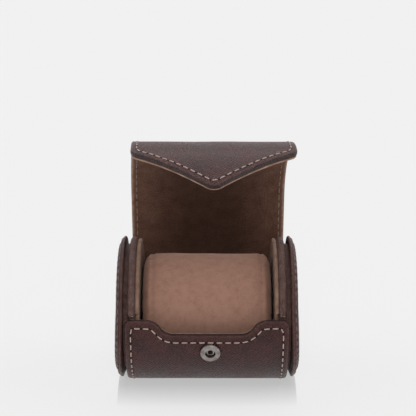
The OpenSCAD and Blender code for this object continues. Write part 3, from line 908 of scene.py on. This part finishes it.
def add_node(tree, kind, **settings):
    """A node with some of its inputs or settings filled in; an input is Named_so, by its label."""
    node = tree.nodes.new("ShaderNode" + kind)
    for key, value in settings.items():
        label = key.replace("_", " ")
        if label in node.inputs:
            node.inputs[label].default_value = value
        else:
            setattr(node, key, value)
    return node


VALUE, VECTOR = "NodeSocketFloat", "NodeSocketVector"


def grain_effect():
    """Printed leather grain: fine lines that cross on the slant, over small worn pebbles."""
    fx = Effect(
        "leather_grain",
        [(VECTOR, "Place", None), (VALUE, "Pebbles per metre", 900.0), (VALUE, "Lines", 0.5)],
        [(VALUE, "Height"), (VALUE, "Valley shade")],
    )
    wander = fx.node("TexNoise", Scale=260.0, Detail=2.0)
    shift = fx.node("VectorMath", operation="SCALE", Scale=0.0011)
    spot = fx.node("VectorMath", operation="ADD")
    pebble = fx.node("TexVoronoi", feature="DISTANCE_TO_EDGE")
    round_off = fx.node("MapRange", interpolation_type="SMOOTHSTEP", From_Max=0.28)
    mirrored = fx.node("VectorMath", operation="MULTIPLY")
    mirrored.inputs[1].default_value = (-1.0, 1.0, 1.0)
    slants = []
    for _ in range(2):
        slant = fx.node(
            "TexWave", wave_type="BANDS", bands_direction="DIAGONAL",
            Scale=430.0, Distortion=3.5, Detail=2.0, Detail_Scale=1.8,
        )
        slants.append(slant)
    crossed = fx.node("Math", operation="MAXIMUM")
    fine = fx.node("TexNoise", Scale=2600.0, Detail=2.0)
    printed = fx.node("Math", operation="MULTIPLY")
    summed = fx.node("Math", operation="MULTIPLY_ADD")
    summed.inputs[1].default_value = 0.6
    fine_part = fx.node("Math", operation="MULTIPLY_ADD")
    fine_part.inputs[1].default_value = 0.25
    # This mask rises between the pebbles and sets the painted shade in the grain valleys.
    valley_shade = fx.node("Math", operation="SUBTRACT", use_clamp=True)
    valley_shade.inputs[0].default_value = 1.0
    fx.join(fx.start["Place"], wander.inputs["Vector"])
    fx.join(wander.outputs["Color"], shift.inputs[0])
    fx.join(fx.start["Place"], spot.inputs[0])
    fx.join(shift.outputs[0], spot.inputs[1])
    fx.join(spot.outputs[0], pebble.inputs["Vector"])
    fx.join(fx.start["Pebbles per metre"], pebble.inputs["Scale"])
    fx.join(pebble.outputs["Distance"], round_off.inputs["Value"])
    fx.join(spot.outputs[0], slants[0].inputs["Vector"])
    fx.join(spot.outputs[0], mirrored.inputs[0])
    fx.join(mirrored.outputs[0], slants[1].inputs["Vector"])
    fx.join(slants[0].outputs["Fac"], crossed.inputs[0])
    fx.join(slants[1].outputs["Fac"], crossed.inputs[1])
    fx.join(fx.start["Place"], fine.inputs["Vector"])
    fx.join(crossed.outputs[0], printed.inputs[0])
    fx.join(fx.start["Lines"], printed.inputs[1])
    fx.join(round_off.outputs["Result"], summed.inputs[0])
    fx.join(printed.outputs[0], summed.inputs[2])
    fx.join(fine.outputs["Fac"], fine_part.inputs[0])
    fx.join(summed.outputs[0], fine_part.inputs[2])
    fx.join(fine_part.outputs[0], fx.end["Height"])
    fx.join(summed.outputs[0], valley_shade.inputs[1])
    fx.join(valley_shade.outputs[0], fx.end["Valley shade"])
    return fx.tree


def wear_effect():
    """Rubbed edges: strongest at the rim of a piece, broken up by patches."""
    fx = Effect(
        "edge_wear",
        [(VECTOR, "Place", None), (VALUE, "Rim", 0.0), (VALUE, "Reach", 1.6)],
        [(VALUE, "Worn")],
    )
    near = fx.node("MapRange", interpolation_type="SMOOTHSTEP", To_Min=1.0, To_Max=0.0)
    patch = fx.node("TexNoise", Scale=330.0, Detail=3.0)
    lift = fx.node("MapRange", From_Min=0.3, From_Max=0.7, To_Min=0.35)
    worn = fx.node("Math", operation="MULTIPLY", use_clamp=True)
    fx.join(fx.start["Rim"], near.inputs["Value"])
    fx.join(fx.start["Reach"], near.inputs["From Max"])
    fx.join(fx.start["Place"], patch.inputs["Vector"])
    fx.join(patch.outputs["Fac"], lift.inputs["Value"])
    fx.join(near.outputs["Result"], worn.inputs[0])
    fx.join(lift.outputs["Result"], worn.inputs[1])
    fx.join(worn.outputs[0], fx.end["Worn"])
    return fx.tree


def socket_shade_effect():
    """A ring of painted shade on the leather round the foot of the snap's socket."""
    fx = Effect(
        "socket_shade_ring",
        [(VECTOR, "Place", None), (VECTOR, "Centre", None), (VALUE, "Radius", 0.005)],
        [(VALUE, "Mark")],
    )
    away = fx.node("VectorMath", operation="DISTANCE")
    past = fx.node("Math", operation="SUBTRACT")
    fade = fx.node(
        "MapRange", interpolation_type="SMOOTHSTEP",
        From_Max=0.0011, To_Min=1.0, To_Max=0.0,
    )
    fx.join(fx.start["Place"], away.inputs[0])
    fx.join(fx.start["Centre"], away.inputs[1])
    fx.join(away.outputs["Value"], past.inputs[0])
    fx.join(fx.start["Radius"], past.inputs[1])
    fx.join(past.outputs[0], fade.inputs["Value"])
    fx.join(fade.outputs["Result"], fx.end["Mark"])
    return fx.tree


def nap_effect():
    """Suede nap: fine fibres, mixed with the softer patches that brushing leaves."""
    fx = Effect(
        "suede_nap",
        [(VECTOR, "Place", None), (VALUE, "Fibres per metre", 1400.0)],
        [(VALUE, "Height"), (VALUE, "Brushed")],
    )
    fibre = fx.node("TexNoise", Detail=4.0, Roughness=0.65)
    brushed = fx.node("TexNoise", Scale=170.0, Detail=4.0, Roughness=0.6)
    mixed = fx.node("Mix", Factor=0.4)
    fx.join(fx.start["Place"], fibre.inputs["Vector"])
    fx.join(fx.start["Fibres per metre"], fibre.inputs["Scale"])
    fx.join(fx.start["Place"], brushed.inputs["Vector"])
    fx.join(fibre.outputs["Fac"], fx.end["Height"])
    fx.join(fibre.outputs["Fac"], mixed.inputs["A"])
    fx.join(brushed.outputs["Fac"], mixed.inputs["B"])
    fx.join(mixed.outputs["Result"], fx.end["Brushed"])
    return fx.tree


def new_finish(name):
    """A new material, with its node tree and its shader."""
    material = bpy.data.materials.new(name)
    material.use_nodes = True
    tree = material.node_tree
    return material, tree, tree.nodes["Principled BSDF"]


def use_effect(tree, effect, **values):
    """Places a shared effect in a material, with the material's own values."""
    node = tree.nodes.new("ShaderNodeGroup")
    node.node_tree = effect
    for label, value in values.items():
        node.inputs[label.replace("_", " ")].default_value = value
    return node


def place_of(tree, laid):
    """Where a spot is: as the piece lay flat, or as it stands."""
    if laid:
        return add_node(tree, "Attribute", attribute_name="lay").outputs["Vector"]
    return add_node(tree, "TexCoord").outputs["Object"]


def two_tone(tree, factor, first, second):
    """Goes from one colour to another as a mask rises."""
    mix = tree.nodes.new("ShaderNodeMix")
    mix.data_type = "RGBA"
    tree.links.new(factor, mix.inputs["Factor"])
    for socket, colour in ((mix.inputs["A"], first), (mix.inputs["B"], second)):
        if isinstance(colour, tuple):
            socket.default_value = colour
        else:
            tree.links.new(colour, socket)
    return mix.outputs["Result"]


def spread(tree, value, low, high, first=0.0, last=1.0):
    """Takes a value's range from low to high over to another range, and stops at its ends."""
    node = add_node(tree, "MapRange", From_Min=low, From_Max=high, To_Min=first, To_Max=last)
    tree.links.new(value, node.inputs["Value"])
    return node.outputs["Result"]


def off_centre(tree, value):
    """How far a value is from 0, either way."""
    node = add_node(tree, "Math", operation="ABSOLUTE")
    tree.links.new(value, node.inputs[0])
    return node.outputs[0]


def combined(tree, operation, first, second):
    """Two values made one, by a product or the larger of the two."""
    node = add_node(tree, "Math", operation=operation)
    tree.links.new(first, node.inputs[0])
    tree.links.new(second, node.inputs[1])
    return node.outputs[0]


def edge_wear(tree, wear, place, reach):
    """Where a piece is rubbed, near the edges that its rim values mark."""
    rubbed = use_effect(tree, wear, Reach=reach)
    tree.links.new(place, rubbed.inputs["Place"])
    rim = add_node(tree, "Attribute", attribute_name="rim").outputs["Fac"]
    tree.links.new(rim, rubbed.inputs["Rim"])
    return rubbed.outputs["Worn"], rim


def add_relief(tree, shader, height, depth):
    """Raises a finish's surface by a height, as deep as is said, in metres."""
    bump = add_node(tree, "Bump", Distance=depth)
    tree.links.new(height, bump.inputs["Height"])
    tree.links.new(bump.outputs["Normal"], shader.inputs["Normal"])


def leather_finish(name, grain, wear, laid, dark, light, worn, pebbles, depth, lines, shine):
    """Satin leather: two browns by patches, painted shade in the grain valleys and edges rubbed paler.
    On the wrap it also has a burnt rim, and a ring of painted shade round the snap's socket."""
    material, tree, shader = new_finish(name)
    place = place_of(tree, laid)
    pattern = use_effect(tree, grain, Pebbles_per_metre=pebbles, Lines=lines)
    tree.links.new(place, pattern.inputs["Place"])
    worn_part, rim = edge_wear(tree, wear, place, 1.6)
    patch = add_node(tree, "TexNoise", Scale=85.0, Detail=5.0)
    tree.links.new(place, patch.inputs["Vector"])
    colour = two_tone(tree, spread(tree, patch.outputs["Fac"], 0.35, 0.65), dark, light)
    # Painted shade: the grain valleys go darker, strongly enough to stand in for the light that catches the
    # raised grain.
    valley_shade = spread(tree, pattern.outputs["Valley shade"], 0.0, 0.9, 0.0, 0.7)
    colour = two_tone(tree, valley_shade, colour, darker(dark, 0.45))
    colour = two_tone(tree, spread(tree, worn_part, 0.0, 1.0, 0.0, 0.75), colour, worn)
    if laid:
        burnt = spread(tree, rim, 0.1, 0.4, 0.8, 0.0)
        colour = two_tone(tree, burnt, colour, srgb(34, 17, 16))
        # Painted shade: a dark ring on the leather round the foot of the snap's socket.
        ring = use_effect(tree, press, Centre=SOCKET_LAY, Radius=0.0045)
        tree.links.new(place, ring.inputs["Place"])
        mark = spread(tree, ring.outputs["Mark"], 0.0, 1.0, 0.0, 0.75)
        colour = two_tone(tree, mark, colour, srgb(16, 9, 9))
    tree.links.new(colour, shader.inputs["Base Color"])
    rough = spread(tree, patch.outputs["Fac"], 0.3, 0.7, shine - 0.05, shine + 0.07)
    tree.links.new(rough, shader.inputs["Roughness"])
    add_relief(tree, shader, pattern.outputs["Height"], depth)
    shader.inputs["Specular IOR Level"].default_value = 0.42
    return material


def suede_finish(name, nap, wear, laid, dark, light, edge):
    """Suede: a soft nap, paler where it is brushed and along its cut edges. The wrap's lining
    also has painted shadow down its middle, darker towards its centre line."""
    material, tree, shader = new_finish(name)
    place = place_of(tree, laid)
    pile = use_effect(tree, nap)
    tree.links.new(place, pile.inputs["Place"])
    worn_part, _ = edge_wear(tree, wear, place, 1.5)
    colour = two_tone(tree, spread(tree, pile.outputs["Brushed"], 0.38, 0.62), dark, light)
    if laid:
        # Painted shadow: the lining goes darker towards its centre line.
        across = add_node(tree, "SeparateXYZ")
        tree.links.new(place, across.inputs[0])
        middle_shadow = spread(tree, off_centre(tree, across.outputs["X"]), 0.012, 0.03, 0.55, 0.0)
        colour = two_tone(tree, middle_shadow, colour, darker(dark, 0.4))
    colour = two_tone(tree, worn_part, colour, edge)
    tree.links.new(colour, shader.inputs["Base Color"])
    add_relief(tree, shader, pile.outputs["Height"], 0.00025)
    shader.inputs["Roughness"].default_value = 0.95
    shader.inputs["Specular IOR Level"].default_value = 0.15
    shader.inputs["Sheen Weight"].default_value = 0.35
    shader.inputs["Sheen Roughness"].default_value = 0.45
    shader.inputs["Sheen Tint"].default_value = srgb(225, 200, 185)
    return material


def thread_finish(name, dark, light):
    """Waxed thread: twisted strands with a faint sheen."""
    material, tree, shader = new_finish(name)
    place = place_of(tree, False)
    twist = add_node(
        tree, "TexWave", wave_type="BANDS", bands_direction="DIAGONAL",
        Scale=900.0, Distortion=1.5,
    )
    tree.links.new(place, twist.inputs["Vector"])
    colour = two_tone(tree, twist.outputs["Fac"], dark, light)
    tree.links.new(colour, shader.inputs["Base Color"])
    add_relief(tree, shader, twist.outputs["Fac"], 0.00012)
    shader.inputs["Roughness"].default_value = 0.7
    shader.inputs["Sheen Weight"].default_value = 0.2
    return material


def metal_finish(name, bright, dull):
    """Nickelled steel with a soft shine, faint turning marks and dull patches."""
    material, tree, shader = new_finish(name)
    place = place_of(tree, False)
    cloud = add_node(tree, "TexNoise", Scale=420.0, Detail=4.0)
    tree.links.new(place, cloud.inputs["Vector"])
    colour = two_tone(tree, spread(tree, cloud.outputs["Fac"], 0.35, 0.7), bright, dull)
    tree.links.new(colour, shader.inputs["Base Color"])
    rough = spread(tree, cloud.outputs["Fac"], 0.3, 0.7, 0.24, 0.4)
    tree.links.new(rough, shader.inputs["Roughness"])
    fine = add_node(tree, "TexNoise", Scale=5200.0)
    tree.links.new(place, fine.inputs["Vector"])
    add_relief(tree, shader, fine.outputs["Fac"], 0.00002)
    shader.inputs["Metallic"].default_value = 1.0
    return material


def fibre_finish(name, dark, light, scale):
    """Pressed board, foam and other plain stuff inside, mottled at its own scale."""
    material, tree, shader = new_finish(name)
    place = place_of(tree, False)
    fibre = add_node(tree, "TexNoise", Scale=scale, Detail=6.0, Roughness=0.65)
    tree.links.new(place, fibre.inputs["Vector"])
    colour = two_tone(tree, spread(tree, fibre.outputs["Fac"], 0.35, 0.65), dark, light)
    tree.links.new(colour, shader.inputs["Base Color"])
    add_relief(tree, shader, fibre.outputs["Fac"], 0.0002)
    shader.inputs["Roughness"].default_value = 0.9
    return material


# ---- building the object ----

# press makes the ring of painted shade round the snap's socket.
grain, wear, press, nap = grain_effect(), wear_effect(), socket_shade_effect(), nap_effect()
GRAIN = {"pebbles": 900.0, "depth": 0.0006, "lines": 1.0}
LEATHER_TONES = (srgb(66, 32, 30), srgb(86, 47, 44), srgb(108, 78, 71))
THIN_TONES = (srgb(78, 50, 47), srgb(106, 75, 70), srgb(136, 108, 100))
leather = leather_finish("brown_leather", grain, wear, True, *LEATHER_TONES, shine=0.37, **GRAIN)
cap_leather = leather_finish("cap_leather", grain, wear, False, *LEATHER_TONES, shine=0.37, **GRAIN)
thin_leather = leather_finish("thin_leather", grain, wear, False, *THIN_TONES, shine=0.4, **GRAIN)
SUEDE_TONES = (srgb(84, 57, 46), srgb(116, 86, 72), srgb(150, 122, 106))
PAD_TONES = (srgb(130, 95, 81), srgb(168, 129, 112), srgb(168, 129, 112))
suede = suede_finish("lining_suede", nap, wear, True, *SUEDE_TONES[:2], srgb(172, 140, 122))
panel_suede = suede_finish("panel_suede", nap, wear, False, *SUEDE_TONES)
pad_suede = suede_finish("cushion_nap", nap, wear, False, *PAD_TONES)
thread = thread_finish("pale_thread", srgb(166, 142, 130), srgb(204, 182, 170))
lining_thread = thread_finish("lining_thread", srgb(112, 84, 70), srgb(160, 130, 114))
cap_thread = thread_finish("cap_thread", srgb(98, 76, 70), srgb(132, 108, 100))
hole = fibre_finish("hole_shadow", srgb(14, 9, 9), srgb(22, 15, 14), 900.0)
steel = metal_finish("nickelled_steel", srgb(164, 155, 151), srgb(126, 118, 115))
# Dark steel for the socket's spring and rivet: painted shade for the inside of the socket's mouth.
mouth_shade_steel = metal_finish("socket_mouth_shade", srgb(40, 37, 36), srgb(26, 24, 23))
board = fibre_finish("pressed_board", srgb(186, 170, 142), srgb(206, 192, 166), 700.0)
foam = fibre_finish("foam", srgb(222, 214, 192), srgb(236, 230, 212), 1500.0)

dress_wrap(leather, suede, board)
dress_stitching(thread, lining_thread, hole)
dress_ends(cap_leather, thin_leather, panel_suede, cap_thread, board, foam)
snap_socket(steel)
dress_cushion(pad_suede)

# CAD pieces that show, or that only show when they are taken apart, and what they are made of.
KEPT = {
    "left_hub": thin_leather, "right_hub": thin_leather,
    # The spring and rivet take the dark steel that paints the shade in the socket's mouth.
    "socket_spring": mouth_shade_steel, "socket_rivet": mouth_shade_steel,
    "stud": steel, "stud_rivet": steel,
    "body_board": board, "left_side_board": board, "right_side_board": board,
    "heel_filler": foam,
}
for node, finish in KEPT.items():
    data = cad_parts[node].data
    data.materials.clear()
    data.materials.append(finish)


# ---- floor, light and camera ----

TABLE_COLOUR = (0.88, 0.88, 0.88, 1)
TABLE_GLOW = 0.78
SKY_LIGHT, SKY_SEEN = 0.36, 0.88
CAMERA_LENS, CAMERA_TILT, CAMERA_PLACE = 109.04, 72.44, (0.45, -554.5, 257.3)


def looked_at(tree):
    """1 for what is seen, also in metal or through glass, and 0 for light that falls on things."""
    rays = add_node(tree, "LightPath").outputs
    seen = combined(tree, "MAXIMUM", rays["Is Camera Ray"], rays["Is Glossy Ray"])
    return combined(tree, "MAXIMUM", seen, rays["Is Transmission Ray"])


def mixed_shader(tree, factor, first, second):
    """One shader over another, by a share or a mask."""
    mix = add_node(tree, "MixShader")
    if isinstance(factor, float):
        mix.inputs["Fac"].default_value = factor
    else:
        tree.links.new(factor, mix.inputs["Fac"])
    tree.links.new(first, mix.inputs[1])
    tree.links.new(second, mix.inputs[2])
    return mix.outputs[0]


def table_polish(tree):
    """How strongly the table mirrors: in low views only, and near the case."""
    spot = add_node(tree, "SeparateXYZ")
    tree.links.new(add_node(tree, "TexCoord").outputs["Object"], spot.inputs[0])
    near = [
        spread(tree, off_centre(tree, spot.outputs[axis]), close, away, 1.0, 0.0)
        for axis, close, away in (("X", 0.044, 0.07), ("Y", 0.016, 0.039))
    ]
    slant = add_node(tree, "Fresnel", IOR=1.45)
    low = spread(tree, slant.outputs[0], 0.03, 0.105, 0.0, 0.32)
    return combined(tree, "MULTIPLY", combined(tree, "MULTIPLY", *near), low)


def pale_floor():
    """A pale table that keeps the shadow and a faint reflection."""
    bm = bmesh.new()
    bmesh.ops.create_grid(bm, x_segments=2, y_segments=2, size=3000)
    bmesh.ops.translate(bm, vec=(0, 0, -0.02), verts=bm.verts)
    material = bpy.data.materials.new("pale_table")
    material.use_nodes = True
    tree = material.node_tree
    tree.nodes.clear()
    end = add_node(tree, "OutputMaterial")
    lit = add_node(tree, "BsdfDiffuse", Color=TABLE_COLOUR).outputs[0]
    glow = add_node(tree, "Emission", Color=TABLE_COLOUR).outputs[0]
    gloss = add_node(tree, "BsdfGlossy", Color=(1, 1, 1, 1), Roughness=0.02).outputs[0]
    pale = mixed_shader(tree, TABLE_GLOW, lit, glow)
    polished = mixed_shader(tree, table_polish(tree), pale, gloss)
    tree.links.new(mixed_shader(tree, looked_at(tree), lit, polished), end.inputs["Surface"])
    obj = finished("table", bm, material)


def sky():
    """White all round: soft for the light that falls, pale where it is looked at."""
    world = bpy.data.worlds.new("pale_room")
    bpy.context.scene.world = world
    world.use_nodes = True
    tree = world.node_tree
    back = tree.nodes["Background"]
    back.inputs["Color"].default_value = (1, 1, 1, 1)
    strength = spread(tree, looked_at(tree), 0.0, 1.0, SKY_LIGHT, SKY_SEEN)
    tree.links.new(strength, back.inputs["Strength"])


def soft_light(name, come_from, strength, breadth, glint):
    """Soft light from far off. Without a glint it makes no flare on metal or the table."""
    lamp = bpy.data.lights.new(name, "SUN")
    lamp.energy = strength
    lamp.angle = math.radians(breadth)
    obj = bpy.data.objects.new(name, lamp)
    bpy.context.scene.collection.objects.link(obj)
    obj.rotation_euler = Vector(come_from).to_track_quat("Z", "Y").to_euler()
    obj.visible_glossy = glint


def camera():
    """A camera in front and a little above, with a long lens."""
    data = bpy.data.cameras.new("camera")
    data.lens = CAMERA_LENS
    data.sensor_width = 36.0
    data.clip_start = 0.01
    obj = bpy.data.objects.new("camera", data)
    bpy.context.scene.collection.objects.link(obj)
    obj.location = Vector(CAMERA_PLACE) * MM
    obj.rotation_euler = (math.radians(CAMERA_TILT), 0, 0)
    bpy.context.scene.camera = obj


pale_floor()
sky()
soft_light("top_light", (0, 0.45, 1), 0.85, 60, True)
soft_light("left_light", (-1, 0.1, 0.6), 0.6, 50, False)
soft_light("right_light", (1, 0.1, 0.6), 0.7, 50, False)
soft_light("front_light", (0, -1, 0.75), 0.9, 26, False)
camera()
bpy.context.scene.view_settings.view_transform = "Standard"
